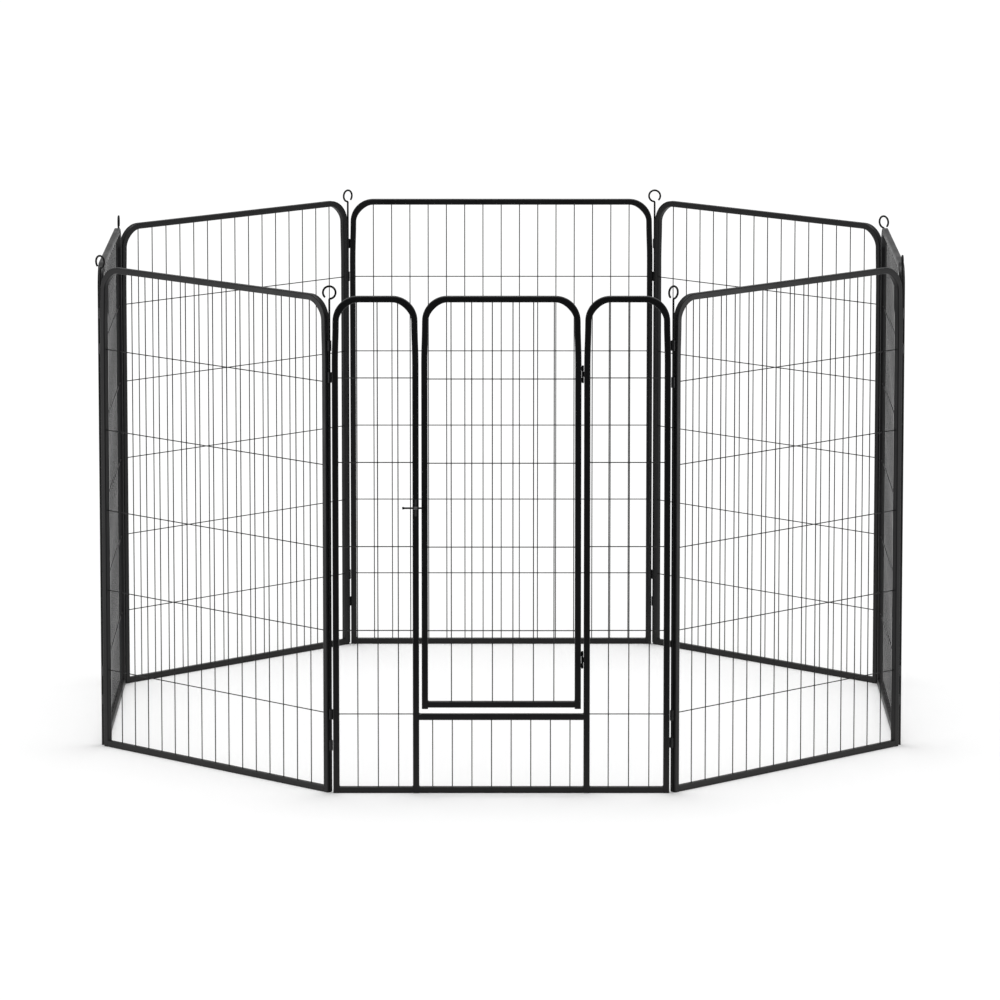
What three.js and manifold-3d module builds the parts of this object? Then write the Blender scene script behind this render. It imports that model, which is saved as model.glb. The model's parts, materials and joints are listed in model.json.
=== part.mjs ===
// An eight-sided metal pet playpen: seven plain panels and one panel with a walk-through door,
// joined at the corners by long pins that drop through sleeves on the panels' stiles.
// Millimetres, +Z up. The origin is on the floor at the middle of the octagon.
// Panel 1, at -Y, holds the door; the others follow anticlockwise, seen from above.
import * as THREE from "three";
import { mergeVertices } from "three/addons/utils/BufferGeometryUtils.js";
import Module from "manifold-3d";

const wasm = await Module();
wasm.setup();

// ---------- Driving dimensions ----------
const PANELS = 8;
const PANEL_WIDTH = 801; // over the outsides of the two stiles
const PANEL_HEIGHT = 1194;

// Square steel tube
const TUBE = 15;
const TUBE_CHAMFER = 2.5; // stands for the rounded corners of the tube
const TUBE_WALL = 1.0;
const BEND_RADIUS = 60; // outside of the top corners
const BEND_STEPS = 5; // flats that stand for each bend's arc
const WELD_GAP = 0.3; // between pieces that are welded edge to edge
const WELD_DEPTH = 0.5; // how far a welded lug sinks into the tube's wall

// Welded wire mesh of a plain panel
const WIRE = 2.2; // side of the square bar that stands for a 2.5 mm round wire
const WIRE_COUNT = 15;
const WIRE_MARGIN = 54.9; // from each stile's centre line to the nearest upright
const CROSS_COUNT = 5;
const CROSS_FIRST = 191.5; // height of the lowest cross wire
const CROSS_LAST = 206; // from the panel's top down to the highest cross wire
const LAYER_OVERLAP = 0.3; // depth of a joined crossing
const LAYER_CLEARANCE = 0.05; // between wires that only lie on each other

// Sides of the polygons that stand for round sections
const ROD_SIDES = 6;
const KNUCKLE_SIDES = 8;
const GUIDE_SIDES = 12;

// Corner joints
const PIN_DIAMETER = 5;
const PIN_PLAY = 0.6; // of the pin in a sleeve's bore, over both sides
const PIN_FOOT = 3; // height of the pin's lower end
const EYE_CENTRE = 8; // height of the eye's centre above the panel's top
const EYE_RADIUS = 15; // to the middle of the wire
const EYE_THROAT_RADIUS = 2.5; // bend where the straight rod runs into the eye
const EYE_END_ANGLE = 229; // degrees round the eye to its open end, from the +X side
const EYE_STEP = 24; // degrees between the rings of the bent wire
const THROAT_STEPS = 3;
const SLEEVE_WALL = 1.7;
const SLEEVE_LENGTH = 25;
const SLEEVE_WEB = 6; // width of the weld between a sleeve and its stile
const SLEEVE_CLEARANCE = 0.5; // from a sleeve to the stiles on both sides of its pin

// Heights of the sleeves on each panel's two stiles, from the panel's top and from the floor
const PLAIN_SLEEVES = {
  left: { top: 206, bottom: 187.5 },
  right: { top: 118.5, bottom: 115 },
};
const DOOR_PANEL_SLEEVES = {
  left: { top: 194, bottom: 190 },
  right: { top: 118, bottom: 121.5 },
};

// Door panel
const DOORWAY_POST = 203; // from the panel's middle to each post's centre line
const THRESHOLD_HEIGHT = 184.3; // centre of the rail under the door
const SIDE_WIRE_COUNT = 3;
const SIDE_WIRE_MARGIN = { left: 51.6, right: 41.6 }; // from the tubes' centre lines
const SIDE_CROSS_FIRST = 190.6;
const SIDE_CROSS_LAST = 195.4; // from the panel's top
const SILL_WIRE_COUNT = 8;
const SILL_WIRE_MARGIN = 39.5; // from each post's centre line

// Door
const DOOR_GAP = 6.2; // between the door's stiles and the posts
const DOOR_FOOT_GAP = 12.3; // from the threshold's top to the lower ends of the door's stiles
const DOOR_RAIL_RISE = 10.3; // from those ends to the centre of the door's bottom rail
const DOOR_WIRE_COUNT = 6;
const DOOR_WIRE_MARGIN = { left: 63.1, right: 56.9 }; // from the door stiles' centre lines
const DOOR_CROSS_COUNT = 4;
const DOOR_CROSS_FIRST = 177.7; // from the centre of the door's bottom rail
const DOOR_CROSS_LAST = 198; // from the door's top

// Door hinges
const HINGE_RISE = 106.7; // lower hinge's middle, above the centre of the door's bottom rail
const HINGE_DROP = 187; // upper hinge's middle, below the door's top
const HINGE_SETBACK = 4.2; // the axis lies this far behind the panel's middle plane
const HINGE_PIN_DIAMETER = 3;
const HINGE_PIN_PLAY = 0.5; // of the pin in a knuckle's bore, over both sides
const KNUCKLE_WALL = 0.85;
const KNUCKLE_OUTER_LENGTH = 12;
const KNUCKLE_MIDDLE_LENGTH = 14;
const KNUCKLE_GAP = 0.6;
const HINGE_HEAD_RIM = 1; // how far a pin's head stands out round its shank
const HINGE_HEAD_LENGTH = 1.1;
const HINGE_HEAD_CLEARANCE = 0.3; // between a head and the knuckle under it

// Slide bolt
const BOLT_HEIGHT = 689;
const BOLT_DIAMETER = 4.5;
const BOLT_PLAY = 0.7; // of the bolt in its guide, over both sides
const BOLT_GRIP = 24.4; // how far it stands out past the post
const BOLT_OVERLAP = 5.5; // how far it reaches over the door's stile
const BOLT_KNOB_RIM = 0.8; // how far the knob stands out round the bolt
const BOLT_KNOB_LENGTH = 5;
const GUIDE_WALL = 1.05;
const GUIDE_LENGTH = 9;
const LATCH_PLATE = { width: 4.8, height: 40, thickness: 1 };
const KEEPER = { width: 6, prong: 1.4, thickness: 0.8 };
const KEEPER_CLEARANCE = 0.6;

// ---------- Values that follow ----------
const HALF_TUBE = TUBE / 2;
const STILE = PANEL_WIDTH / 2 - HALF_TUBE; // from the panel's middle to a stile's centre line
const SLEEVE_BORE = PIN_DIAMETER + PIN_PLAY;
const SLEEVE_DIAMETER = SLEEVE_BORE + 2 * SLEEVE_WALL;
const PIN_X = PANEL_WIDTH / 2 + SLEEVE_DIAMETER / 2 + SLEEVE_CLEARANCE;
const TURN = (2 * Math.PI) / PANELS;
const APOTHEM = PIN_X / Math.tan(TURN / 2);
const DOOR_STILE = DOORWAY_POST - TUBE - DOOR_GAP;
const DOOR_FOOT = THRESHOLD_HEIGHT + HALF_TUBE + DOOR_FOOT_GAP;
const DOOR_RAIL_HEIGHT = DOOR_FOOT + DOOR_RAIL_RISE;
const HINGE_X = DOORWAY_POST - HALF_TUBE - DOOR_GAP / 2;
const HINGE_HEIGHTS = {
  lower: DOOR_RAIL_HEIGHT + HINGE_RISE,
  upper: PANEL_HEIGHT - HINGE_DROP,
};
const KNUCKLE_BORE = HINGE_PIN_DIAMETER + HINGE_PIN_PLAY;
const KNUCKLE_DIAMETER = KNUCKLE_BORE + 2 * KNUCKLE_WALL;
const KNUCKLE_STEP = (KNUCKLE_MIDDLE_LENGTH + KNUCKLE_OUTER_LENGTH) / 2 + KNUCKLE_GAP;
const GUIDE_BORE = BOLT_DIAMETER + BOLT_PLAY;
const GUIDE_DIAMETER = GUIDE_BORE + 2 * GUIDE_WALL;

// ---------- Solids ----------
function solidOf(geometry) {
  const bare = geometry.index ? geometry.toNonIndexed() : geometry.clone();
  bare.deleteAttribute("normal");
  bare.deleteAttribute("uv");
  const merged = mergeVertices(bare, 1e-4);
  return new wasm.Manifold(
    new wasm.Mesh({
      numProp: 3,
      vertProperties: merged.attributes.position.array,
      triVerts: new Uint32Array(merged.index.array),
    }),
  );
}

function geometryOf(solid) {
  const mesh = solid.getMesh();
  const geometry = new THREE.BufferGeometry();
  geometry.setAttribute("position", new THREE.BufferAttribute(mesh.vertProperties, 3));
  geometry.setIndex(new THREE.BufferAttribute(mesh.triVerts, 1));
  geometry.computeVertexNormals();
  return geometry;
}

function join(geometries) {
  return geometryOf(geometries.map(solidOf).reduce((whole, piece) => whole.add(piece)));
}

function cut(geometry, hole) {
  return geometryOf(solidOf(geometry).subtract(solidOf(hole)));
}

function block(x0, x1, y0, y1, z0, z1) {
  return new THREE.BoxGeometry(x1 - x0, y1 - y0, z1 - z0).translate(
    (x0 + x1) / 2,
    (y0 + y1) / 2,
    (z0 + z1) / 2,
  );
}

function range(count, valueAt) {
  return Array.from({ length: count }, (_, i) => valueAt(i));
}

// Evenly spaced values from first to last.
function spread(first, last, count) {
  return range(count, (i) => first + ((last - first) * i) / (count - 1));
}

// A path that is stepped only where it bends: each station has a point and a direction.
class StationPath extends THREE.Curve {
  constructor(stations) {
    super();
    this.stations = stations;
  }
  stationAt(u) {
    return this.stations[Math.round(u * (this.stations.length - 1))];
  }
  getPoint(u, target = new THREE.Vector3()) {
    return target.copy(this.stationAt(u).point);
  }
  getPointAt(u, target) {
    return this.getPoint(u, target);
  }
  getTangentAt(u, target = new THREE.Vector3()) {
    return target.copy(this.stationAt(u).direction);
  }
}

function station(x, z, dx, dz) {
  return {
    point: new THREE.Vector3(x, 0, z),
    direction: new THREE.Vector3(dx, 0, dz).normalize(),
  };
}

// Stations round an arc in the XZ plane, between two angles in degrees.
// The path runs anticlockwise where the angle grows and clockwise where it falls.
function arcStations(x, z, radius, from, to, steps) {
  const way = Math.sign(to - from);
  return range(steps + 1, (i) => {
    const a = THREE.MathUtils.degToRad(from + ((to - from) * i) / steps);
    const c = Math.cos(a);
    const s = Math.sin(a);
    return station(x + radius * c, z + radius * s, -way * s, way * c);
  });
}

function sweep(section, stations) {
  const path = new StationPath(stations);
  return new THREE.ExtrudeGeometry(section, {
    steps: stations.length - 1,
    extrudePath: path,
  });
}

function roundSection(radius, sides) {
  const corners = range(sides, (i) => {
    const a = (2 * Math.PI * (i + 0.5)) / sides;
    return new THREE.Vector2(radius * Math.cos(a), radius * Math.sin(a));
  });
  return new THREE.Shape(corners);
}

// The square tube's section: chamfered outside, square inside.
function tubeSection() {
  const h = HALF_TUBE;
  const c = h - TUBE_CHAMFER;
  const i = h - TUBE_WALL - TUBE_CHAMFER / 4;
  const outside = [
    [h, c],
    [c, h],
    [-c, h],
    [-h, c],
    [-h, -c],
    [-c, -h],
    [c, -h],
    [h, -c],
  ];
  const inside = [
    [i, i],
    [i, -i],
    [-i, -i],
    [-i, i],
  ];
  const vectors = (points) => points.map(([x, y]) => new THREE.Vector2(x, y));
  const section = new THREE.Shape(vectors(outside));
  section.holes.push(new THREE.Path(vectors(inside)));
  return section;
}

// A tube bent to an upside-down U: left and right are its legs' centre lines.
function archTube(left, right, foot, top) {
  const radius = BEND_RADIUS - HALF_TUBE;
  const centre = top - BEND_RADIUS;
  return sweep(tubeSection(), [
    station(left, foot, 0, 1),
    ...arcStations(left + radius, centre, radius, 180, 90, BEND_STEPS),
    ...arcStations(right - radius, centre, radius, 90, 0, BEND_STEPS),
    station(right, foot, 0, -1),
  ]);
}

// A straight rail between two uprights, whose centre lines are left and right.
function rail(left, right, height) {
  const reach = HALF_TUBE + WELD_GAP;
  return sweep(tubeSection(), [
    station(left + reach, height, 1, 0),
    station(right - reach, height, 1, 0),
  ]);
}

// Height of an arch's underside over a wire at x. The flats of the stepped bend lie a little
// inside the true arc.
function archUnderside(x, left, right, top) {
  const bendWidth = BEND_RADIUS - HALF_TUBE;
  const intoBend = bendWidth + WIRE / 2 - Math.min(x - left, right - x);
  if (intoBend <= 0) return top - TUBE;
  const inside = (BEND_RADIUS - TUBE) * Math.cos(Math.PI / 4 / BEND_STEPS);
  return top - BEND_RADIUS + Math.sqrt(inside ** 2 - intoBend ** 2);
}

// Wires inside a frame, uprights in front and cross wires behind. The top cross wire and the first
// upright sink into the wires that they cross, which binds the mesh into one piece.
function wireMesh(uprights, crosses, left, right, bottom, top) {
  const half = WIRE / 2;
  const front = -half;
  const back = half + LAYER_CLEARANCE;
  const sink = LAYER_CLEARANCE + LAYER_OVERLAP;
  const x0 = left + HALF_TUBE + WELD_GAP;
  const x1 = right - HALF_TUBE - WELD_GAP;
  const z0 = bottom + HALF_TUBE + WELD_GAP;
  const standing = uprights.map((x, i) => {
    const y = i === 0 ? front + sink : front;
    const z1 = archUnderside(x, left, right, top) - WELD_GAP;
    return block(x - half, x + half, y - half, y + half, z0, z1);
  });
  const lying = crosses.map((z, i) => {
    const y = i === crosses.length - 1 ? back - sink : back;
    return block(x0, x1, y - half, y + half, z - half, z + half);
  });
  return join([...standing, ...lying]);
}

// A short tube round a vertical axis, as a turned ring.
function ring(outer, bore, length, sides) {
  const h = length / 2;
  const profile = [
    new THREE.Vector2(bore / 2, -h),
    new THREE.Vector2(outer / 2, -h),
    new THREE.Vector2(outer / 2, h),
    new THREE.Vector2(bore / 2, h),
    new THREE.Vector2(bore / 2, -h),
  ];
  return new THREE.LatheGeometry(profile, sides).rotateX(Math.PI / 2);
}

// A sleeve for a pin at x, y, with the web that joins it to the tube face at x = face.
function lug(outer, bore, length, web, x, y, z, face) {
  const side = Math.sign(face - x);
  const inner = x + side * (bore / 2 + (outer - bore) / 8);
  const deep = face + side * WELD_DEPTH;
  const joint = block(
    Math.min(inner, deep),
    Math.max(inner, deep),
    y - web / 2,
    y + web / 2,
    z - length / 2,
    z + length / 2,
  );
  const turned = ring(outer, bore, length, KNUCKLE_SIDES).rotateZ(Math.PI / KNUCKLE_SIDES);
  const body = turned.translate(x, y, z);
  return [body, joint];
}

// The pair of sleeves on one side of a panel: side is -1 for left and 1 for right.
function cornerSleeves(side, sleeves) {
  const inset = side < 0 ? sleeves.left : sleeves.right;
  const face = (side * PANEL_WIDTH) / 2;
  return [inset.bottom, PANEL_HEIGHT - inset.top].flatMap((z) =>
    lug(SLEEVE_DIAMETER, SLEEVE_BORE, SLEEVE_LENGTH, SLEEVE_WEB, side * PIN_X, 0, z, face),
  );
}

// ---------- Pieces ----------
const FRAME_COAT = { color: 0x1d1e20, roughness: 0.5, metalness: 0.35 };
const WIRE_COAT = { color: 0x2b2c2f, roughness: 0.5, metalness: 0.35 };
const PIN_COAT = { color: 0x232427, roughness: 0.4, metalness: 0.5 };

const playpen = new THREE.Group();
const panelGroups = range(PANELS, (i) => {
  const group = new THREE.Group();
  group.rotation.z = i * TURN;
  group.position.set(APOTHEM * Math.sin(i * TURN), -APOTHEM * Math.cos(i * TURN), 0);
  playpen.add(group);
  return group;
});

function add(group, name, geometry, coat) {
  const mesh = new THREE.Mesh(geometry, new THREE.MeshStandardMaterial(coat));
  mesh.name = name;
  group.add(mesh);
}

// Plain panels: an arch of tube, a bottom rail and a full mesh
function plainPanel(number) {
  const group = panelGroups[number - 1];
  const name = `panel_${number}`;
  const uprights = spread(WIRE_MARGIN - STILE, STILE - WIRE_MARGIN, WIRE_COUNT);
  const crosses = spread(CROSS_FIRST, PANEL_HEIGHT - CROSS_LAST, CROSS_COUNT);
  const arch = archTube(-STILE, STILE, 0, PANEL_HEIGHT);
  const sleeves = [-1, 1].flatMap((side) => cornerSleeves(side, PLAIN_SLEEVES));
  add(group, `${name}_frame`, join([arch, ...sleeves]), FRAME_COAT);
  add(group, `${name}_bottom_rail`, rail(-STILE, STILE, HALF_TUBE), FRAME_COAT);
  const mesh = wireMesh(uprights, crosses, -STILE, STILE, HALF_TUBE, PANEL_HEIGHT);
  add(group, `${name}_mesh`, mesh, WIRE_COAT);
}

// Corner pins: a straight rod with an open eye bent at its top
function cornerPin(number) {
  const centre = PANEL_HEIGHT + EYE_CENTRE;
  const throatDrop = Math.sqrt(EYE_RADIUS * (EYE_RADIUS + 2 * EYE_THROAT_RADIUS));
  const meeting = THREE.MathUtils.radToDeg(Math.atan2(-throatDrop, EYE_THROAT_RADIUS));
  const sweepAngle = EYE_END_ANGLE - meeting;
  const throat = arcStations(
    EYE_THROAT_RADIUS,
    centre - throatDrop,
    EYE_THROAT_RADIUS,
    180,
    180 + meeting,
    THROAT_STEPS,
  );
  const eye = arcStations(
    0,
    centre,
    EYE_RADIUS,
    meeting,
    EYE_END_ANGLE,
    Math.ceil(sweepAngle / EYE_STEP),
  );
  const pin = sweep(roundSection(PIN_DIAMETER / 2, ROD_SIDES), [
    station(0, PIN_FOOT, 0, 1),
    ...throat,
    ...eye.slice(1),
  ]);
  add(panelGroups[number - 1], `corner_pin_${number}`, pin.translate(-PIN_X, 0, 0), PIN_COAT);
}

for (let number = 1; number <= PANELS; number += 1) {
  if (number > 1) plainPanel(number);
  cornerPin(number);
}

// Door panel: two narrow arches either side of the doorway, a threshold and a sill
const front = panelGroups[0];

function knuckle(length, z, face) {
  const web = 2 * (HALF_TUBE - TUBE_CHAMFER / 2 - HINGE_SETBACK);
  return lug(KNUCKLE_DIAMETER, KNUCKLE_BORE, length, web, HINGE_X, HINGE_SETBACK, z, face);
}

function sideSection(word, left, right, extras) {
  const uprights = spread(
    left + SIDE_WIRE_MARGIN.left,
    right - SIDE_WIRE_MARGIN.right,
    SIDE_WIRE_COUNT,
  );
  const crosses = spread(SIDE_CROSS_FIRST, PANEL_HEIGHT - SIDE_CROSS_LAST, CROSS_COUNT);
  const arch = archTube(left, right, 0, PANEL_HEIGHT);
  add(front, `door_panel_${word}_frame`, join([arch, ...extras]), FRAME_COAT);
  add(front, `door_panel_${word}_bottom_rail`, rail(left, right, HALF_TUBE), FRAME_COAT);
  const mesh = wireMesh(uprights, crosses, left, right, HALF_TUBE, PANEL_HEIGHT);
  add(front, `door_panel_${word}_mesh`, mesh, WIRE_COAT);
}

const postFace = DOORWAY_POST - HALF_TUBE;
const postKnuckles = Object.values(HINGE_HEIGHTS).flatMap((z) =>
  knuckle(KNUCKLE_MIDDLE_LENGTH, z, postFace),
);
const [leftSleeves, rightSleeves] = [-1, 1].map((side) => cornerSleeves(side, DOOR_PANEL_SLEEVES));
sideSection("left", -STILE, -DOORWAY_POST, leftSleeves);
sideSection("right", DOORWAY_POST, STILE, [...rightSleeves, ...postKnuckles]);

add(front, "threshold_rail", rail(-DOORWAY_POST, DOORWAY_POST, THRESHOLD_HEIGHT), FRAME_COAT);

// The sill's wires stand on the middle bottom rail and end just under the threshold.
const sillReach = DOORWAY_POST - SILL_WIRE_MARGIN;
const sillWires = spread(-sillReach, sillReach, SILL_WIRE_COUNT).map((x) => {
  const top = THRESHOLD_HEIGHT - HALF_TUBE - WELD_GAP;
  const half = WIRE / 2;
  return block(x - half, x + half, -half, half, TUBE - WELD_DEPTH, top);
});
const sillRail = rail(-DOORWAY_POST, DOORWAY_POST, HALF_TUBE);
add(front, "sill_rail_and_wires", join([sillRail, ...sillWires]), FRAME_COAT);

// Door: an arch, a bottom rail and a mesh, hung on the right-hand post
const doorFace = DOOR_STILE + HALF_TUBE;
const doorKnuckles = Object.values(HINGE_HEIGHTS).flatMap((z) =>
  [-1, 1].flatMap((end) =>
    knuckle(KNUCKLE_OUTER_LENGTH, z + end * KNUCKLE_STEP, doorFace),
  ),
);
const doorArch = archTube(-DOOR_STILE, DOOR_STILE, DOOR_FOOT, PANEL_HEIGHT);
add(front, "door_frame", join([doorArch, ...doorKnuckles]), FRAME_COAT);
add(front, "door_bottom_rail", rail(-DOOR_STILE, DOOR_STILE, DOOR_RAIL_HEIGHT), FRAME_COAT);

const doorUprights = spread(
  DOOR_WIRE_MARGIN.left - DOOR_STILE,
  DOOR_STILE - DOOR_WIRE_MARGIN.right,
  DOOR_WIRE_COUNT,
);
const doorCrosses = spread(
  DOOR_RAIL_HEIGHT + DOOR_CROSS_FIRST,
  PANEL_HEIGHT - DOOR_CROSS_LAST,
  DOOR_CROSS_COUNT,
);
const doorMesh = wireMesh(
  doorUprights,
  doorCrosses,
  -DOOR_STILE,
  DOOR_STILE,
  DOOR_RAIL_HEIGHT,
  PANEL_HEIGHT,
);
add(front, "door_mesh", doorMesh, WIRE_COAT);

// Hinge pins: a rod with a riveted head over each end of its three knuckles
for (const [word, z] of Object.entries(HINGE_HEIGHTS)) {
  const shank = HINGE_PIN_DIAMETER / 2;
  const head = shank + HINGE_HEAD_RIM;
  const inside = KNUCKLE_STEP + KNUCKLE_OUTER_LENGTH / 2 + HINGE_HEAD_CLEARANCE;
  const outside = inside + HINGE_HEAD_LENGTH;
  const profile = [
    [0, -outside],
    [head, -outside],
    [head, -inside],
    [shank, -inside],
    [shank, inside],
    [head, inside],
    [head, outside],
    [0, outside],
  ].map(([r, h]) => new THREE.Vector2(r, h));
  const pin = new THREE.LatheGeometry(profile, KNUCKLE_SIDES).rotateX(Math.PI / 2);
  add(front, `door_hinge_pin_${word}`, pin.translate(HINGE_X, HINGE_SETBACK, z), PIN_COAT);
}

// Slide bolt on the left-hand post, its guide, and the open fork on the door that it drops into
const plateBack = -HALF_TUBE - WELD_GAP;
const boltY = plateBack - GUIDE_DIAMETER / 2;

const guidePlate = block(
  -DOORWAY_POST - LATCH_PLATE.width / 2,
  -DOORWAY_POST + LATCH_PLATE.width / 2,
  plateBack - LATCH_PLATE.thickness,
  plateBack,
  BOLT_HEIGHT - LATCH_PLATE.height / 2,
  BOLT_HEIGHT + LATCH_PLATE.height / 2,
);
function acrossPost(diameter, length) {
  return new THREE.CylinderGeometry(diameter / 2, diameter / 2, length, GUIDE_SIDES)
    .rotateZ(Math.PI / 2)
    .translate(-DOORWAY_POST, boltY, BOLT_HEIGHT);
}

const guide = join([guidePlate, acrossPost(GUIDE_DIAMETER, GUIDE_LENGTH)]);
const guideBore = acrossPost(GUIDE_BORE, GUIDE_LENGTH * 2);
add(front, "latch_guide", cut(guide, guideBore), FRAME_COAT);

const boltTail = -DOORWAY_POST - HALF_TUBE - BOLT_GRIP;
const boltTip = -doorFace + BOLT_OVERLAP;
const boltRadius = BOLT_DIAMETER / 2;
const boltProfile = [
  [0, boltTail],
  [boltRadius + BOLT_KNOB_RIM, boltTail],
  [boltRadius + BOLT_KNOB_RIM, boltTail + BOLT_KNOB_LENGTH],
  [boltRadius, boltTail + BOLT_KNOB_LENGTH],
  [boltRadius, boltTip],
  [0, boltTip],
].map(([r, h]) => new THREE.Vector2(r, h));
const bolt = new THREE.LatheGeometry(boltProfile, GUIDE_SIDES).rotateZ(-Math.PI / 2);
add(front, "slide_bolt", bolt.translate(0, boltY, BOLT_HEIGHT), PIN_COAT);

const keeperLeft = -doorFace + WELD_DEPTH;
const keeperRight = keeperLeft + KEEPER.width;
const slot = boltRadius + KEEPER_CLEARANCE;
const keeperTop = slot + KEEPER.prong;
const prongTip = boltY - boltRadius;
const keeperPlate = block(
  keeperLeft,
  keeperRight,
  plateBack - KEEPER.thickness,
  plateBack,
  BOLT_HEIGHT - keeperTop,
  BOLT_HEIGHT + keeperTop,
);
const prongs = [-keeperTop, slot].map((z) =>
  block(
    keeperLeft,
    keeperRight,
    prongTip,
    plateBack,
    BOLT_HEIGHT + z,
    BOLT_HEIGHT + z + KEEPER.prong,
  ),
);
add(front, "door_keeper", join([keeperPlate, ...prongs]), FRAME_COAT);

export default playpen;
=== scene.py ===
import json
import math

import bmesh
import bpy
from mathutils import Matrix, Vector


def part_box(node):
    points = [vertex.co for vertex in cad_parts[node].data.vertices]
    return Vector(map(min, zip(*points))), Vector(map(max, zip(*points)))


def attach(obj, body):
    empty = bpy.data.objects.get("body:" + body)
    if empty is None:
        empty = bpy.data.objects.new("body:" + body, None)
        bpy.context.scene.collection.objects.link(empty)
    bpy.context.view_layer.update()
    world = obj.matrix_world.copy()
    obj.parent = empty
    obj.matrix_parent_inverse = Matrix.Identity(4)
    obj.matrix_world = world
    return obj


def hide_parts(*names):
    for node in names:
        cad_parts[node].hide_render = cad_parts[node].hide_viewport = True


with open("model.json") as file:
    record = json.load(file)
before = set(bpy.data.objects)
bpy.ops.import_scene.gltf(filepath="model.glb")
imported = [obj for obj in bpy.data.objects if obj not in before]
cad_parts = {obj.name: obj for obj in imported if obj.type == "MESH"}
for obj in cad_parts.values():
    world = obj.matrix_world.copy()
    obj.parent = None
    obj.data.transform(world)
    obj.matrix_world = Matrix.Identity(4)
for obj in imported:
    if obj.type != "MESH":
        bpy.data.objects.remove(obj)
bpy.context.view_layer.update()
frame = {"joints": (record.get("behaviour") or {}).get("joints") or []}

# ---------- Arched frames of the seven plain panels ----------
# Each is one length of square steel tube, press-bent twice into an upside-down U and powder-coated
# black. The press flattens the inside of each bend and draws the two stiles slightly together.
rail_low, rail_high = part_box("panel_5_bottom_rail")
PANELS = 8
PANEL_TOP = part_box("panel_5_frame")[1].z
TUBE = rail_high.z - rail_low.z
HALF_TUBE = TUBE / 2
TUBE_WALL = 0.001
TUBE_ROUND = 0.0028  # radius of the tube's four corners
TUBE_DEPTH = 0.03  # how far an open end is hollow
WELD_GAP = 0.0003  # between a rail's end in the solids and the stile it is welded to
STILE = rail_high.x + WELD_GAP + HALF_TUBE  # from a panel's middle to a stile's centre line
BEND_RADIUS = 0.060  # outside of the top corners
BEND_STEPS = 14
BEND_PINCH = 0.0022  # how far the inner wall is pressed in at the middle of a bend
LEAN = 0.0022  # how far a bend draws its stile inwards
LEAN_LENGTH = 0.1
LEAN_STEPS = 5
corner = Vector(next(joint["pos_m"] for joint in frame["joints"] if joint["name"] == "fold"))
PIN_X = corner.x  # from a panel's middle to the axis of a corner pin
APOTHEM = -corner.y


def panel_place(number):
    """Where panel 1 to 8 stands in the octagon: 1 is the door's, the rest run anticlockwise."""
    turn = 2 * math.pi / PANELS * (number - 1)
    return Matrix.Rotation(turn, 4, "Z") @ Matrix.Translation((0, -APOTHEM, 0))


def kind(geometry, wanted):
    return [item for item in geometry if isinstance(item, wanted)]


def tube_section(bm, place):
    """A rounded square of tube across the place's Z axis. Its corners are marked for rubbed paint and
    a painted highlight.
    """
    wear_and_highlight = bm.verts.layers.float.get("wear_and_highlight") or bm.verts.layers.float.new("wear_and_highlight")
    made = bmesh.ops.create_circle(
        bm,
        cap_ends=True,
        segments=4,
        radius=HALF_TUBE * math.sqrt(2),
        matrix=Matrix.Rotation(math.pi / 4, 4, "Z"),
    )
    made = bmesh.ops.bevel(
        bm,
        geom=made["verts"],
        affect="VERTICES",
        offset=TUBE_ROUND,
        segments=4,
        profile=0.5,
        material=-1,
    )
    deepest = TUBE_ROUND * (1 - math.sqrt(0.5))
    # Marks the rounded corners to be lightened: partly rubbed paint, partly a painted highlight along
    # the edges.
    for vert in made["verts"]:
        inside = HALF_TUBE - max(abs(vert.co.x), abs(vert.co.y))
        vert[wear_and_highlight] = min(1, inside / deepest)
    faces = list({face for vert in made["verts"] for face in vert.link_faces})
    bmesh.ops.transform(bm, matrix=place, verts=made["verts"])
    return faces


def draw_out(bm, faces, step):
    """Extrudes the faces by the step and returns the faces at the new end."""
    loose = all(edge.is_boundary for face in faces for edge in face.edges)
    made = bmesh.ops.extrude_face_region(bm, geom=faces)["geom"]
    if not loose:
        bmesh.ops.delete(bm, geom=faces, context="FACES_ONLY")
    bmesh.ops.translate(bm, vec=step, verts=kind(made, bmesh.types.BMVert))
    return kind(made, bmesh.types.BMFace)


def bend(bm, faces, centre, axis, angle, steps):
    """Sweeps the faces round an arc and returns the faces at the new end."""
    edges = {edge for face in faces for edge in face.edges}
    verts = {vert for face in faces for vert in face.verts}
    made = bmesh.ops.spin(
        bm,
        geom=[*faces, *edges, *verts],
        cent=centre,
        axis=axis,
        angle=angle,
        steps=steps,
        use_merge=False,
    )
    return kind(made["geom_last"], bmesh.types.BMFace)


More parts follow.
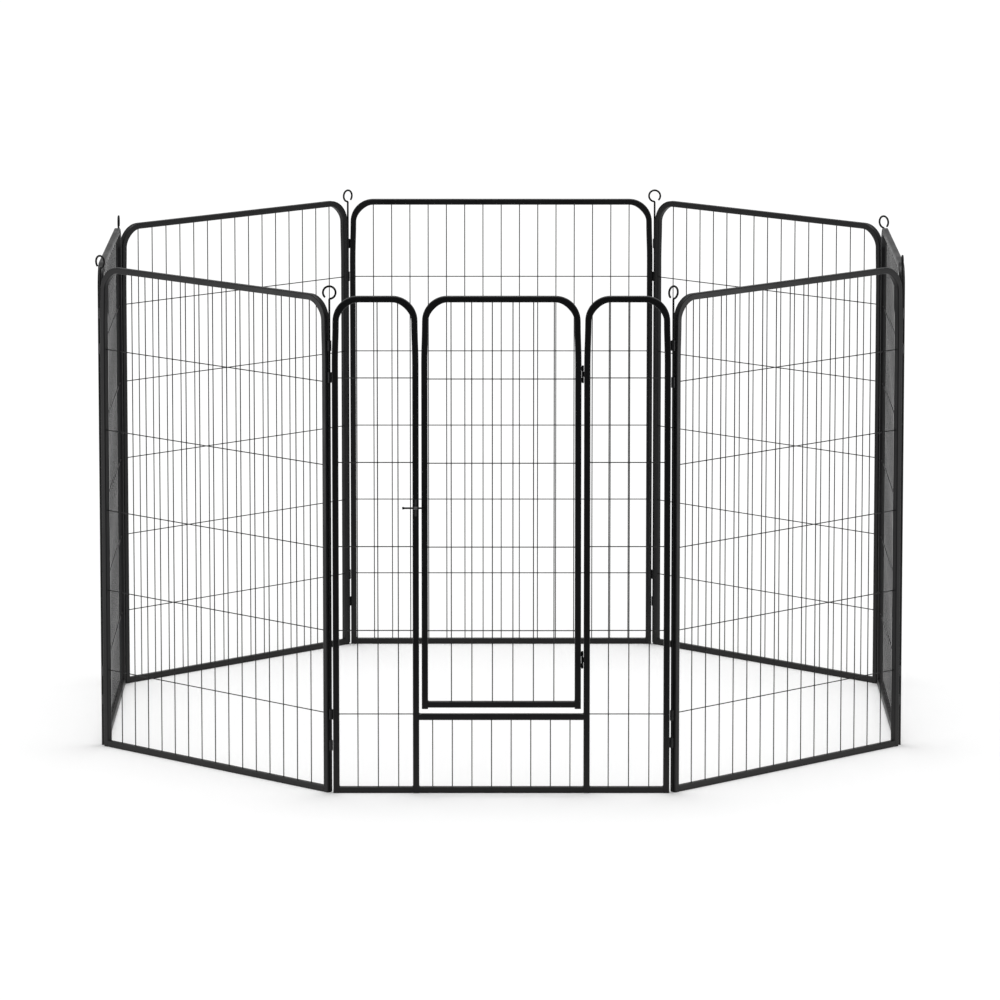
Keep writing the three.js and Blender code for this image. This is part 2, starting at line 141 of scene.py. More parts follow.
def bent_arch(bm, left, right, foot):
    """An upside-down U of square tube. Left and right are the centre lines of its stiles."""
    turn = BEND_RADIUS - HALF_TUBE
    spring = PANEL_TOP - BEND_RADIUS
    lean_foot = spring - LEAN_LENGTH
    rise = Vector((0, 0, LEAN_LENGTH / LEAN_STEPS))
    end = tube_section(bm, Matrix.Translation((left, 0, foot)))
    end = draw_out(bm, end, (0, 0, lean_foot - foot))
    for _ in range(LEAN_STEPS):
        end = draw_out(bm, end, rise)
    end = bend(bm, end, (left + turn, 0, spring), (0, 1, 0), math.pi / 2, BEND_STEPS)
    end = draw_out(bm, end, (right - left - 2 * turn, 0, 0))
    end = bend(bm, end, (right - turn, 0, spring), (0, 1, 0), math.pi / 2, BEND_STEPS)
    for _ in range(LEAN_STEPS):
        end = draw_out(bm, end, -rise)
    draw_out(bm, end, (0, 0, foot - lean_foot))
    middle = (left + right) / 2
    for vert in bm.verts:
        side = 1 if vert.co.x > middle else -1
        out = side * (vert.co.x - middle) - (right - left) / 2 + turn
        up = vert.co.z - spring
        reach = math.hypot(out, up)
        if out > 0 and up > 0 and reach < turn:
            pinch = BEND_PINCH * (2 * out * up / reach**2) ** 2 * (turn - reach) / HALF_TUBE
            vert.co.x -= side * pinch * out / reach
            vert.co.z -= pinch * up / reach
        climb = min(1, max(0, 1 + up / LEAN_LENGTH))
        vert.co.x -= side * LEAN * climb**2 * (3 - 2 * climb)
    feet = [face for face in bm.faces if len(face.verts) > 4]
    bmesh.ops.inset_region(bm, faces=feet, thickness=TUBE_WALL, depth=0)
    draw_out(bm, feet, (0, 0, TUBE_DEPTH))


SLEEVE_LENGTH = 0.025
SLEEVE_RADIUS = 0.0045
SLEEVE_BORE = 0.0028
PLAIN_SLEEVES = {-1: (0.1875, PANEL_TOP - 0.206), 1: (0.115, PANEL_TOP - 0.1185)}  # left and right
SLEEVE_BEADS = (-0.0022, 0, 0.0022)  # across the tube
SLEEVE_BEAD_RADIUS = 0.0017
BEAD_INSET = 0.001  # how far a bead stops short of a ring's rims
WELD_RIPPLE = 0.0022


def turned_ring(bm, centre, axis, bore, radius, length):
    """A short tube with softened rims, turned round the axis through the centre, marked all over for
    rubbed paint and a painted highlight.
    """
    wear_and_highlight = bm.verts.layers.float.get("wear_and_highlight") or bm.verts.layers.float.new("wear_and_highlight")
    upright = Vector(axis).to_track_quat("Z", "X").to_matrix().to_4x4()
    place = Matrix.Translation(centre) @ upright
    wall = Matrix.Translation(((radius + bore) / 2, 0, 0)) @ Matrix.Rotation(math.pi / 2, 4, "X")
    size = Matrix.Diagonal((radius - bore, length, 1, 1))
    made = bmesh.ops.create_circle(
        bm,
        cap_ends=True,
        segments=4,
        radius=math.sqrt(0.5),
        matrix=place @ wall @ size @ Matrix.Rotation(math.pi / 4, 4, "Z"),
    )
    made = bmesh.ops.bevel(
        bm,
        geom=made["verts"],
        affect="VERTICES",
        offset=(radius - bore) / 4,
        segments=2,
        profile=0.5,
        material=-1,
    )
    verts = made["verts"]
    # Marks the whole ring to be lightened: partly rubbed paint, partly a painted highlight.
    for vert in verts:
        vert[wear_and_highlight] = 1
    faces = {face for vert in verts for face in vert.link_faces}
    edges = {edge for vert in verts for edge in vert.link_edges}
    bmesh.ops.delete(bm, geom=list(faces), context="FACES_ONLY")
    bmesh.ops.spin(
        bm,
        geom=[*verts, *edges],
        cent=centre,
        axis=axis,
        angle=2 * math.pi,
        steps=24,
        use_merge=True,
    )


def weld_bead(bm, start, end, radius):
    """A rippled bead of weld from start to end."""
    start = Vector(start)
    run = Vector(end) - start
    ripples = max(2, round(run.length / WELD_RIPPLE))
    along = run.to_track_quat("Z", "Y").to_matrix().to_4x4()
    for i in range(ripples):
        centre = start + run * (i + 0.5) / ripples
        bmesh.ops.create_icosphere(
            bm,
            subdivisions=1,
            radius=radius,
            matrix=Matrix.Translation(centre) @ along,
        )


def corner_sleeves(bm, side, heights):
    """The two sleeves that are welded to a panel's left (-1) or right (1) stile."""
    gap = (side * (STILE + HALF_TUBE) + side * (PIN_X - SLEEVE_RADIUS)) / 2
    for z in heights[side]:
        turned_ring(bm, (side * PIN_X, 0, z), (0, 0, 1), SLEEVE_BORE, SLEEVE_RADIUS, SLEEVE_LENGTH)
        low = z - SLEEVE_LENGTH / 2 + BEAD_INSET
        high = z + SLEEVE_LENGTH / 2 - BEAD_INSET
        for y in SLEEVE_BEADS:
            weld_bead(bm, (gap, y, low), (gap, y, high), SLEEVE_BEAD_RADIUS)


PEEL_SCALE = 900
PEEL_HEIGHT = 0.0002
CLOUD_SCALE = 14  # size of the patches in which gloss and wear vary
ROUGHEST = 0.48
SMOOTHEST = 0.34
RUBBED_POLISH = -0.1
WEAR_AND_HIGHLIGHT_LIFT = 3.2  # how many times lighter a marked corner is: partly rubbed paint, partly a painted highlight
DUST_HEIGHT = 0.15
DUST_MOST = 0.05
DUST_COLOUR = (0.3, 0.28, 0.25, 1)


def powder_coat(name, colour, gloss, peel):
    """Sprayed and baked paint: an orange-peel skin, uneven gloss, corners lightened partly as rubbed
    paint and partly as a painted highlight, and floor dust.
    """
    material = bpy.data.materials.new(name)
    material.use_nodes = True
    nodes = material.node_tree.nodes
    link = material.node_tree.links.new
    coat = nodes["Principled BSDF"]
    coat.inputs["Specular IOR Level"].default_value = gloss
    place = nodes.new("ShaderNodeTexCoord")

    skin = nodes.new("ShaderNodeTexNoise")
    skin.inputs["Scale"].default_value = PEEL_SCALE
    skin.inputs["Detail"].default_value = 2
    link(place.outputs["Object"], skin.inputs["Vector"])
    bump = nodes.new("ShaderNodeBump")
    bump.inputs["Strength"].default_value = peel
    bump.inputs["Distance"].default_value = PEEL_HEIGHT
    link(skin.outputs["Fac"], bump.inputs["Height"])
    link(bump.outputs["Normal"], coat.inputs["Normal"])

    clouds = nodes.new("ShaderNodeTexNoise")
    clouds.inputs["Scale"].default_value = CLOUD_SCALE
    clouds.inputs["Detail"].default_value = 5
    link(place.outputs["Object"], clouds.inputs["Vector"])
    wear_and_highlight = nodes.new("ShaderNodeAttribute")
    wear_and_highlight.attribute_name = "wear_and_highlight"
    rough = nodes.new("ShaderNodeMapRange")
    rough.inputs["From Min"].default_value = 0.3
    rough.inputs["From Max"].default_value = 0.7
    rough.inputs["To Min"].default_value = SMOOTHEST
    rough.inputs["To Max"].default_value = ROUGHEST
    link(clouds.outputs["Fac"], rough.inputs["Value"])
    polish = nodes.new("ShaderNodeMath")
    polish.operation = "MULTIPLY_ADD"
    polish.inputs[1].default_value = RUBBED_POLISH
    link(wear_and_highlight.outputs["Fac"], polish.inputs[0])
    link(rough.outputs["Result"], polish.inputs[2])
    link(polish.outputs["Value"], coat.inputs["Roughness"])

    # Lighter colour where marked: partly rubbed paint, partly a painted highlight.
    wear_and_highlight_colour = nodes.new("ShaderNodeMix")
    wear_and_highlight_colour.data_type = "RGBA"
    wear_and_highlight_colour.inputs["A"].default_value = (*colour, 1)
    wear_and_highlight_colour.inputs["B"].default_value = (*[WEAR_AND_HIGHLIGHT_LIFT * shade for shade in colour], 1)
    wear_and_highlight_share = nodes.new("ShaderNodeMath")
    wear_and_highlight_share.operation = "MULTIPLY"
    link(wear_and_highlight.outputs["Fac"], wear_and_highlight_share.inputs[0])
    link(clouds.outputs["Fac"], wear_and_highlight_share.inputs[1])
    link(wear_and_highlight_share.outputs["Value"], wear_and_highlight_colour.inputs["Factor"])
    height = nodes.new("ShaderNodeSeparateXYZ")
    link(place.outputs["Object"], height.inputs["Vector"])
    low = nodes.new("ShaderNodeMapRange")
    low.inputs["From Min"].default_value = 0
    low.inputs["From Max"].default_value = DUST_HEIGHT
    low.inputs["To Min"].default_value = DUST_MOST
    low.inputs["To Max"].default_value = 0
    link(height.outputs["Z"], low.inputs["Value"])
    settled = nodes.new("ShaderNodeMath")
    settled.operation = "MULTIPLY"
    link(low.outputs["Result"], settled.inputs[0])
    link(clouds.outputs["Fac"], settled.inputs[1])
    dust = nodes.new("ShaderNodeMix")
    dust.data_type = "RGBA"
    dust.inputs["B"].default_value = DUST_COLOUR
    link(settled.outputs["Value"], dust.inputs["Factor"])
    link(wear_and_highlight_colour.outputs["Result"], dust.inputs["A"])
    link(dust.outputs["Result"], coat.inputs["Base Color"])
    return material


def finish_piece(bm, name, number, body, material, slot, *nodes):
    """Closes a piece made in panel coordinates, sets it in the octagon, hangs it on its body and hides
    the parts it replaces.
    """
    bmesh.ops.recalc_face_normals(bm, faces=bm.faces)
    bmesh.ops.transform(bm, matrix=panel_place(number), verts=bm.verts)
    mesh = bpy.data.meshes.new(name)
    bm.to_mesh(mesh)
    bm.free()
    mesh.shade_smooth()
    mesh.set_sharp_from_angle(angle=math.radians(40))
    mesh.materials.append(material)
    piece = bpy.data.objects.new(name, mesh)
    pen.objects.link(piece)
    flat = piece.modifiers.new("flat_sides", "WEIGHTED_NORMAL")
    flat.keep_sharp = True
    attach(piece, body)
    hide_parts(*nodes)


pen = bpy.data.collections.new("playpen")
bpy.context.scene.collection.children.link(pen)
tube_coat = powder_coat("black_tube_coat", (0.0055, 0.0055, 0.006), 0.22, 0.25)
for number in range(2, PANELS + 1):
    bm = bmesh.new()
    bent_arch(bm, -STILE, STILE, 0)
    for side in (-1, 1):
        corner_sleeves(bm, side, PLAIN_SLEEVES)
    name = f"panel_{number}"
    finish_piece(bm, f"arch_{number}", number, name, tube_coat, "frame_coat", f"{name}_frame")

# ---------- Bottom rails of the plain panels ----------
# A straight piece of the same tube, cut square and welded between the two stiles at the floor.
# A bead of weld closes each joint on top and down its front and back.
RAIL_BEAD = 0.0015


def welded_rail(bm, left, right, z):
    """A tube between two stiles' centre lines, with the weld beads at its ends."""
    reach = HALF_TUBE - TUBE_WALL
    end = tube_section(
        bm, Matrix.Translation((left + reach, 0, z)) @ Matrix.Rotation(math.pi / 2, 4, "Y")
    )
    draw_out(bm, end, (right - left - 2 * reach, 0, 0))
    flank = HALF_TUBE - RAIL_BEAD
    for x in (left + HALF_TUBE, right - HALF_TUBE):
        weld_bead(bm, (x, -flank, z + HALF_TUBE), (x, flank, z + HALF_TUBE), RAIL_BEAD)
        for y in (-flank, flank):
            weld_bead(bm, (x, y, z - flank), (x, y, z + flank), RAIL_BEAD)


for number in range(2, PANELS + 1):
    bm = bmesh.new()
    welded_rail(bm, -STILE, STILE, HALF_TUBE)
    name = f"panel_{number}"
    finish_piece(
        bm, f"foot_rail_{number}", number, name, tube_coat, "frame_coat", f"{name}_bottom_rail"
    )

# ---------- Welded wire of the plain panels ----------
# Round steel wires in two layers, uprights outside and cross wires inside, spot-welded where they
# cross and to the tube at their ends, then coated together with the frame.
WIRE_RADIUS = 0.00125
LAYER = 0.0012  # from the panel's middle plane to the centre of each layer
NUGGET = 0.0016
CROSSING_BLOB = (1.1, 0.9, 1.1)  # stretch of a nugget where wires cross
UPRIGHT_BLOB = (1.3, 1.3, 0.7)  # at an upright's end
CROSS_BLOB = (0.7, 1.3, 1.3)  # at a cross wire's end
UPRIGHTS = 15
UPRIGHT_MARGIN = 0.0549
CROSSES = 5
CROSS_LOW = 0.1915
CROSS_HIGH = PANEL_TOP - 0.206


def spread(first, last, count):
    return [first + (last - first) * i / (count - 1) for i in range(count)]


def wire(bm, start, end):
    run = Vector(end) - Vector(start)
    along = run.to_track_quat("Z", "Y").to_matrix().to_4x4()
    bmesh.ops.create_cone(
        bm,
        cap_ends=True,
        segments=8,
        radius1=WIRE_RADIUS,
        radius2=WIRE_RADIUS,
        depth=run.length,
        matrix=Matrix.Translation((Vector(start) + Vector(end)) / 2) @ along,
    )


def nugget(bm, place, size):
    """A spot weld: a small flattened blob."""
    bmesh.ops.create_icosphere(
        bm,
        subdivisions=1,
        radius=NUGGET,
        matrix=Matrix.Translation(place) @ Matrix.Diagonal((*size, 1)),
    )


def tube_line(x, left, right):
    """Height of the arch's centre line over x."""
    turn = BEND_RADIUS - HALF_TUBE
    into = max(0, turn - min(x - left, right - x))
    return PANEL_TOP - BEND_RADIUS + math.sqrt(turn**2 - into**2)


def welded_wires(bm, uprights, crosses, left, right, bottom):
    """The mesh of a frame, between its stiles' and rails' centre lines."""
    for x in uprights:
        top = tube_line(x, left, right)
        wire(bm, (x, -LAYER, bottom), (x, -LAYER, top))
        nugget(bm, (x, -LAYER, bottom + HALF_TUBE), UPRIGHT_BLOB)
        nugget(bm, (x, -LAYER, top - HALF_TUBE), UPRIGHT_BLOB)
        for z in crosses:
            nugget(bm, (x, 0, z), CROSSING_BLOB)
    for z in crosses:
        wire(bm, (left, LAYER, z), (right, LAYER, z))
        nugget(bm, (left + HALF_TUBE, LAYER, z), CROSS_BLOB)
        nugget(bm, (right - HALF_TUBE, LAYER, z), CROSS_BLOB)


wire_coat = powder_coat("black_wire_coat", (0.007, 0.007, 0.0075), 0.17, 0.1)
plain_uprights = spread(UPRIGHT_MARGIN - STILE, STILE - UPRIGHT_MARGIN, UPRIGHTS)
plain_crosses = spread(CROSS_LOW, CROSS_HIGH, CROSSES)
for number in range(2, PANELS + 1):
    bm = bmesh.new()
    welded_wires(bm, plain_uprights, plain_crosses, -STILE, STILE, HALF_TUBE)
    name = f"panel_{number}"
    finish_piece(bm, f"wires_{number}", number, name, wire_coat, "wire_coat", f"{name}_mesh")

# ---------- Corner pins ----------
# A long steel rod that drops through the four sleeves of a corner and holds two panels together.
# Its top is bent into an open finger eye, and both ends are tumbled round.
PIN_RADIUS = 0.0025
PIN_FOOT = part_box("corner_pin_5")[0].z
PIN_SIDES = 14
EYE_HEIGHT = PANEL_TOP + 0.008
EYE_RADIUS = 0.0149  # to the middle of the wire
EYE_STEPS = 40
EYE_END = math.radians(229)
THROAT_RADIUS = 0.0025
THROAT_STEPS = 6
PIN_TUMBLE = 0.4  # share of the radius that is rounded off at both ends

pin_paint = powder_coat("black_rod_coat", (0.004, 0.004, 0.0044), 0.13, 0.08)
throat_drop = math.sqrt(EYE_RADIUS * (EYE_RADIUS + 2 * THROAT_RADIUS))
throat_turn = math.atan2(throat_drop, THROAT_RADIUS)
for number in range(1, PANELS + 1):
    bm = bmesh.new()
    throat = EYE_HEIGHT - throat_drop
    bmesh.ops.create_circle(
        bm,
        cap_ends=True,
        segments=PIN_SIDES,
        radius=PIN_RADIUS,
        matrix=Matrix.Translation((-PIN_X, 0, PIN_FOOT)),
    )
    end = draw_out(bm, bm.faces[:], (0, 0, throat - PIN_FOOT))
    bow = (THROAT_RADIUS - PIN_X, 0, throat)
    end = bend(bm, end, bow, (0, 1, 0), throat_turn, THROAT_STEPS)
    end = bend(bm, end, (-PIN_X, 0, EYE_HEIGHT), (0, -1, 0), EYE_END + throat_turn, EYE_STEPS)
    ends = [face for face in bm.faces if len(face.verts) > 4]
    bmesh.ops.bevel(
        bm,
        geom=[edge for face in ends for edge in face.edges],
        affect="EDGES",
        offset=PIN_RADIUS * PIN_TUMBLE,
        segments=3,
        profile=0.5,
        material=-1,
    )
    name = f"corner_pin_{number}"
    finish_piece(bm, f"eye_pin_{number}", number, name, pin_paint, "pin_steel", name)

# ---------- Fixed sections beside the doorway ----------
# Two narrow arches of the same tube. Their inner stiles are the doorway's posts, and the right-hand
# post carries the middle knuckle of each door hinge on a weld.
axis = Vector(next(joint["pos_m"] for joint in frame["joints"] if joint["name"] == "door_swing"))
threshold_low, threshold_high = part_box("threshold_rail")
HINGE_X = axis.x
HINGE_Y = axis.y + APOTHEM
POST = threshold_high.x + WELD_GAP + HALF_TUBE
KNUCKLE_RADIUS = 0.0026
KNUCKLE_BORE = 0.00175
KNUCKLE_MIDDLE = 0.014
KNUCKLE_OUTER = 0.012
KNUCKLE_GAP = 0.0006
KNUCKLE_BEAD_STEP = 0.0012  # of its two beads, either side of the hinge's axis
KNUCKLE_BEAD_RADIUS = 0.0013
DOOR_PANEL_SLEEVES = {-1: (0.190, PANEL_TOP - 0.194), 1: (0.1215, PANEL_TOP - 0.118)}
SIDE_UPRIGHTS = 3
SIDE_MARGINS = (0.0516, 0.0416)
SIDE_CROSS_LOW = 0.1906
SIDE_CROSS_HIGH = PANEL_TOP - 0.1954
hinge_heights = [
    sum(corner.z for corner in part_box(f"door_hinge_pin_{word}")) / 2 for word in ("lower", "upper")
]


def knuckle(bm, z, length, face):
    """One knuckle of a hinge, welded to the tube face at x = face."""
    turned_ring(bm, (HINGE_X, HINGE_Y, z), (0, 0, 1), KNUCKLE_BORE, KNUCKLE_RADIUS, length)
    side = math.copysign(1, face - HINGE_X)
    gap = (face + HINGE_X + side * KNUCKLE_RADIUS) / 2
    low = z - length / 2 + BEAD_INSET
    high = z + length / 2 - BEAD_INSET
    for y in (HINGE_Y - KNUCKLE_BEAD_STEP, HINGE_Y + KNUCKLE_BEAD_STEP):
        weld_bead(bm, (gap, y, low), (gap, y, high), KNUCKLE_BEAD_RADIUS)


for word, left, right, side in (("left", -STILE, -POST, -1), ("right", POST, STILE, 1)):
    bm = bmesh.new()
    bent_arch(bm, left, right, 0)
    corner_sleeves(bm, side, DOOR_PANEL_SLEEVES)
    if side == 1:
        for z in hinge_heights:
            knuckle(bm, z, KNUCKLE_MIDDLE, POST - HALF_TUBE)
    node = f"door_panel_{word}"
    finish_piece(
        bm, f"side_arch_{word}", 1, "panel_1", tube_coat, "frame_coat", f"{node}_frame"
    )
    bm = bmesh.new()
    welded_rail(bm, left, right, HALF_TUBE)
    finish_piece(
        bm, f"side_foot_rail_{word}", 1, "panel_1", tube_coat, "frame_coat", f"{node}_bottom_rail"
    )
    bm = bmesh.new()
    side_uprights = spread(left + SIDE_MARGINS[0], right - SIDE_MARGINS[1], SIDE_UPRIGHTS)
    side_crosses = spread(SIDE_CROSS_LOW, SIDE_CROSS_HIGH, CROSSES)
    welded_wires(bm, side_uprights, side_crosses, left, right, HALF_TUBE)
    finish_piece(bm, f"side_wires_{word}", 1, "panel_1", wire_coat, "wire_coat", f"{node}_mesh")

# ---------- Threshold and sill ----------
# Two rails tie the posts together under the door, one at the floor and one as the threshold, with
# eight short wires welded between them.
THRESHOLD = (threshold_low.z + threshold_high.z) / 2
SILL_WIRES = 8
SILL_MARGIN = 0.0395

bm = bmesh.new()
welded_rail(bm, -POST, POST, THRESHOLD)
finish_piece(bm, "door_step", 1, "panel_1", tube_coat, "frame_coat", "threshold_rail")

bm = bmesh.new()
welded_rail(bm, -POST, POST, HALF_TUBE)
for x in spread(SILL_MARGIN - POST, POST - SILL_MARGIN, SILL_WIRES):
    wire(bm, (x, 0, HALF_TUBE), (x, 0, THRESHOLD))
    nugget(bm, (x, 0, TUBE), UPRIGHT_BLOB)
    nugget(bm, (x, 0, THRESHOLD - HALF_TUBE), UPRIGHT_BLOB)
finish_piece(bm, "sill", 1, "panel_1", tube_coat, "frame_coat", "sill_rail_and_wires")

# ---------- Door ----------
# A smaller arch with its own bottom rail and welded wire. The two outer knuckles of each hinge are
# welded to its right-hand stile.
door_rail_low, door_rail_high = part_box("door_bottom_rail")
DOOR_STILE = door_rail_high.x + WELD_GAP + HALF_TUBE
DOOR_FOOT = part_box("door_frame")[0].z
DOOR_RAIL = (door_rail_low.z + door_rail_high.z) / 2
DOOR_UPRIGHTS = 6
DOOR_MARGINS = (0.0631, 0.0569)
DOOR_CROSSES = 4
DOOR_CROSS_LOW = DOOR_RAIL + 0.1777
DOOR_CROSS_HIGH = PANEL_TOP - 0.198
KNUCKLE_STEP = (KNUCKLE_MIDDLE + KNUCKLE_OUTER) / 2 + KNUCKLE_GAP

bm = bmesh.new()
bent_arch(bm, -DOOR_STILE, DOOR_STILE, DOOR_FOOT)
for z in hinge_heights:
    for step in (-KNUCKLE_STEP, KNUCKLE_STEP):
        knuckle(bm, z + step, KNUCKLE_OUTER, DOOR_STILE + HALF_TUBE)
finish_piece(bm, "door_arch", 1, "door", tube_coat, "frame_coat", "door_frame")

bm = bmesh.new()
welded_rail(bm, -DOOR_STILE, DOOR_STILE, DOOR_RAIL)
finish_piece(bm, "door_foot_rail", 1, "door", tube_coat, "frame_coat", "door_bottom_rail")

bm = bmesh.new()
door_uprights = spread(DOOR_MARGINS[0] - DOOR_STILE, DOOR_STILE - DOOR_MARGINS[1], DOOR_UPRIGHTS)
door_crosses = spread(DOOR_CROSS_LOW, DOOR_CROSS_HIGH, DOOR_CROSSES)
welded_wires(bm, door_uprights, door_crosses, -DOOR_STILE, DOOR_STILE, DOOR_RAIL)
finish_piece(bm, "door_wires", 1, "door", wire_coat, "wire_coat", "door_mesh")

# ---------- Hinge pins ----------
# A steel rivet through the three knuckles of each hinge, with a domed head over both ends.
HINGE_PIN_RADIUS = 0.0015
HEAD_RADIUS = 0.0025
HEAD_LENGTH = 0.0011
HEAD_DOME = 0.45  # share of the head's length that is rounded off
SHANK_INSET = 0.001  # by how much the shank is shorter than the rivet
SHANK_ROUND = 0.0002


def rod(bm, centre, axis, radius, length, round_off):
    """A bar along the axis, its two rims rounded off."""
    along = Vector(axis).to_track_quat("Z", "X").to_matrix().to_4x4()
    made = bmesh.ops.create_cone(
        bm,
        cap_ends=True,
        segments=20,
        radius1=radius,
        radius2=radius,
        depth=length,
        matrix=Matrix.Translation(centre) @ along,
    )
    rims = {edge for vert in made["verts"] for edge in vert.link_edges}
    rims = [edge for edge in rims if max(len(face.verts) for face in edge.link_faces) > 4]
    bmesh.ops.bevel(
        bm,
        geom=rims,
        affect="EDGES",
        offset=round_off,
        segments=3,
        profile=0.5,
        material=-1,
    )


for word, z in zip(("lower", "upper"), hinge_heights):
    low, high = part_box(f"door_hinge_pin_{word}")
    bm = bmesh.new()
    shank = high.z - low.z - SHANK_INSET
    rod(bm, (HINGE_X, HINGE_Y, z), (0, 0, 1), HINGE_PIN_RADIUS, shank, SHANK_ROUND)
    for head in (low.z + HEAD_LENGTH / 2, high.z - HEAD_LENGTH / 2):
        rod(bm, (HINGE_X, HINGE_Y, head), (0, 0, 1), HEAD_RADIUS, HEAD_LENGTH, HEAD_LENGTH * HEAD_DOME)
    finish_piece(
        bm, f"hinge_rivet_{word}", 1, "panel_1", pin_paint, "pin_steel", f"door_hinge_pin_{word}"
    )

# ---------- Latch ----------
# A narrow steel plate with a short guide tube is welded to the left post. A round bolt slides in the
# guide and drops into an open fork that is welded to the door's stile.
guide_low, guide_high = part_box("latch_guide")
bolt_low, bolt_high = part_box("slide_bolt")
keeper_low, keeper_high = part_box("door_keeper")
BOLT_RADIUS = 0.00225
KNOB_LENGTH = 0.005
GUIDE_RADIUS = 0.00365
GUIDE_BORE = 0.0026
GUIDE_LENGTH = 0.009
PLATE_WIDTH = 0.0048
PLATE_THICKNESS = 0.001
PLATE_ROUND = 0.0003
PLATE_SINK = 0.0003  # how far the plate and the fork sink into the tube's coat
PLATE_BEAD_INSET = 0.0012
PLATE_BEAD_RADIUS = 0.0011
BOLT_ROUND = 0.0006
KNOB_ROUND = 0.0007
KEEPER_THICKNESS = 0.0008
KEEPER_ROUND = 0.00025
PRONG = 0.0014
PRONG_ROUND = 0.00035
bolt_axis = Vector((0, (bolt_low.y + bolt_high.y) / 2 + APOTHEM, (bolt_low.z + bolt_high.z) / 2))
knob_radius = (bolt_high.z - bolt_low.z) / 2


def flat_bar(bm, low, high, round_off):
    """A strip of steel from its lowest to its highest corner, with softened edges."""
    low = Vector(low)
    high = Vector(high)
    place = Matrix.Translation((low + high) / 2) @ Matrix.Diagonal((*(high - low), 1))
    made = bmesh.ops.create_cube(bm, size=1, matrix=place)
    edges = {edge for vert in made["verts"] for edge in vert.link_edges}
    bmesh.ops.bevel(
        bm,
        geom=list(edges),
        affect="EDGES",
        offset=round_off,
        segments=2,
        profile=0.5,
        material=-1,
    )


plate_back = guide_high.y + APOTHEM
bm = bmesh.new()
flat_bar(
    bm,
    (-POST - PLATE_WIDTH / 2, plate_back - PLATE_THICKNESS, guide_low.z),
    (-POST + PLATE_WIDTH / 2, plate_back + PLATE_SINK, guide_high.z),
    PLATE_ROUND,
)
turned_ring(
    bm,
    (-POST, bolt_axis.y, bolt_axis.z),
    (1, 0, 0),
    GUIDE_BORE,
    GUIDE_RADIUS,
    GUIDE_LENGTH,
)
for z in (guide_low.z, guide_high.z):
    inward = math.copysign(PLATE_BEAD_INSET, bolt_axis.z - z)
    weld_bead(
        bm,
        (-POST - PLATE_WIDTH / 2, plate_back, z + inward),
        (-POST + PLATE_WIDTH / 2, plate_back, z + inward),
        PLATE_BEAD_RADIUS,
    )
plate_coat = powder_coat("black_plate_coat", (0.035, 0.035, 0.036), 0.3, 0.1)
finish_piece(bm, "bolt_guide", 1, "panel_1", plate_coat, "frame_coat", "latch_guide")

bm = bmesh.new()
rod(
    bm,
    ((bolt_low.x + bolt_high.x) / 2, bolt_axis.y, bolt_axis.z),
    (1, 0, 0),
    BOLT_RADIUS,
    bolt_high.x - bolt_low.x,
    BOLT_ROUND,
)
rod(
    bm,
    (bolt_low.x + KNOB_LENGTH / 2, bolt_axis.y, bolt_axis.z),
    (1, 0, 0),
    knob_radius,
    KNOB_LENGTH,
    KNOB_ROUND,
)
finish_piece(bm, "latch_bolt", 1, "slide_bolt", pin_paint, "pin_steel", "slide_bolt")

bm = bmesh.new()
keeper_front = keeper_low.y + APOTHEM
flat_bar(
    bm,
    (keeper_low.x, plate_back - KEEPER_THICKNESS, keeper_low.z),
    (keeper_high.x, plate_back + PLATE_SINK, keeper_high.z),
    KEEPER_ROUND,
)
for low_z, high_z in (
    (keeper_low.z, keeper_low.z + PRONG),
    (keeper_high.z - PRONG, keeper_high.z),
):
    flat_bar(
        bm,
        (keeper_low.x, keeper_front, low_z),
        (keeper_high.x, plate_back, high_z),
        PRONG_ROUND,
    )
finish_piece(bm, "latch_fork", 1, "door", tube_coat, "frame_coat", "door_keeper")

# ---------- Floor, light and camera ----------
# A seamless white studio floor under a broad overhead light, with two tall soft lights at the sides
# that lift the slanting panels. The room beyond the floor's front edge is dark, so the pen's front
# faces mirror black. A long lens stands far in front of the door.
FLOOR_REACH = 90
bm = bmesh.new()
bmesh.ops.create_grid(bm, x_segments=1, y_segments=1, size=FLOOR_REACH)
floor_mesh = bpy.data.meshes.new("studio_floor")
bm.to_mesh(floor_mesh)
bm.free()
floor_paint = bpy.data.materials.new("white_floor")
floor_paint.use_nodes = True
floor_shader = floor_paint.node_tree.nodes["Principled BSDF"]
floor_shader.inputs["Base Color"].default_value = (0.95, 0.95, 0.95, 1)
floor_shader.inputs["Roughness"].default_value = 0.9
floor_shader.inputs["Specular IOR Level"].default_value = 0.1
floor_mesh.materials.append(floor_paint)
floor = bpy.data.objects.new("studio_floor", floor_mesh)
bpy.context.scene.collection.objects.link(floor)

DARK_FROM = -1.75  # where the white floor ends in front of the pen, as the pen's gloss sees it
DARK_TO = -19
DARK_HEIGHT = 9
DARK_HALF_WIDTH = 12
DARK_LIFT = 0.002  # above the white floor
dark_paint = bpy.data.materials.new("dark_room")
dark_paint.use_nodes = True
dark_shader = dark_paint.node_tree.nodes["Principled BSDF"]
dark_shader.inputs["Base Color"].default_value = (0.01, 0.01, 0.01, 1)
dark_shader.inputs["Specular IOR Level"].default_value = 0
bm = bmesh.new()
across = [
    (bm.verts.new((-DARK_HALF_WIDTH, y, z)), bm.verts.new((DARK_HALF_WIDTH, y, z)))
    for y, z in ((DARK_FROM, DARK_LIFT), (DARK_TO, DARK_LIFT), (DARK_TO, DARK_HEIGHT))
]
for (left, right), (next_left, next_right) in zip(across, across[1:]):
    bm.faces.new((right, left, next_left, next_right))
dark_mesh = bpy.data.meshes.new("dark_room")
bm.to_mesh(dark_mesh)
bm.free()
dark_mesh.materials.append(dark_paint)
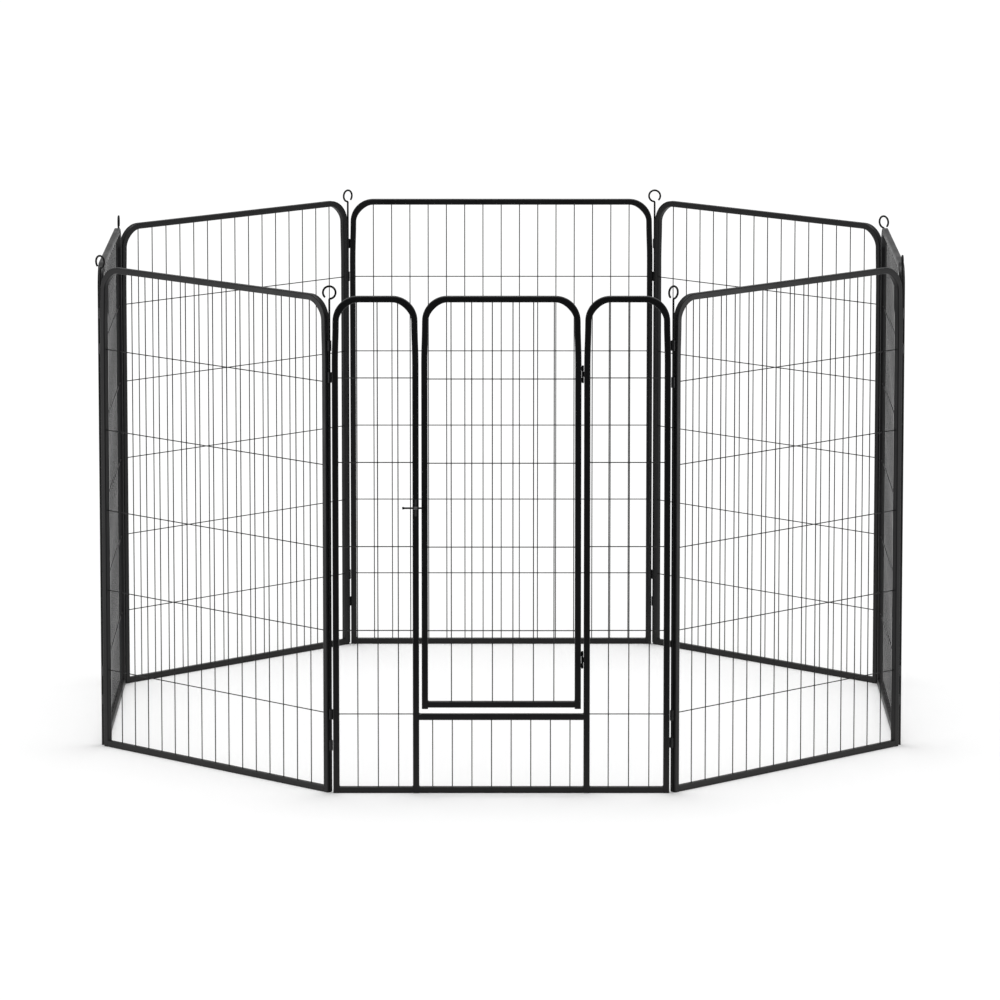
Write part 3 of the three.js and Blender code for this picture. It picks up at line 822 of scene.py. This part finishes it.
dark_room = bpy.data.objects.new("dark_room", dark_mesh)
dark_room.visible_camera = False
dark_room.visible_shadow = False
dark_room.visible_diffuse = False
bpy.context.scene.collection.objects.link(dark_room)

SKY = 0.6
SKY_SEEN = 1.0
world = bpy.data.worlds.new("white_studio")
bpy.context.scene.world = world
world.use_nodes = True
world_nodes = world.node_tree.nodes
sky = world_nodes["Background"]
rays = world_nodes.new("ShaderNodeLightPath")
strength = world_nodes.new("ShaderNodeMapRange")
strength.inputs["To Min"].default_value = SKY
strength.inputs["To Max"].default_value = SKY_SEEN
sky.inputs["Color"].default_value = (1, 1, 1, 1)
world.node_tree.links.new(rays.outputs["Is Camera Ray"], strength.inputs["Value"])
world.node_tree.links.new(strength.outputs["Result"], sky.inputs["Strength"])

overhead = bpy.data.lights.new("overhead", "SUN")
overhead.energy = 1.65
overhead.angle = math.radians(25)
overhead_lamp = bpy.data.objects.new("overhead", overhead)
overhead_lamp.rotation_euler = (math.radians(-6), 0, 0)
bpy.context.scene.collection.objects.link(overhead_lamp)

SIDE_LIGHT = (2.8, -1.15, 0.85)
for word, side in (("left", -1), ("right", 1)):
    softbox = bpy.data.lights.new(f"softbox_{word}", "AREA")
    softbox.shape = "RECTANGLE"
    softbox.size = 0.8
    softbox.size_y = 1.6
    softbox.energy = 13
    lamp = bpy.data.objects.new(f"softbox_{word}", softbox)
    lamp.location = (side * SIDE_LIGHT[0], SIDE_LIGHT[1], SIDE_LIGHT[2])
    lamp.rotation_euler = (math.pi / 2, 0, side * math.pi / 2)
    lamp.visible_camera = False
    lamp.light_linking.receiver_collection = pen
    bpy.context.scene.collection.objects.link(lamp)

lens = bpy.data.cameras.new("studio_camera")
lens.lens = 243.0
lens.sensor_width = 36
lens.clip_end = 300
camera = bpy.data.objects.new("studio_camera", lens)
camera.location = (-0.0032, -16.7547, 3.2763)
camera.rotation_euler = (math.radians(90 - 9.251), 0, 0)
bpy.context.scene.collection.objects.link(camera)
bpy.context.scene.camera = camera
bpy.context.scene.view_settings.view_transform = "Standard"
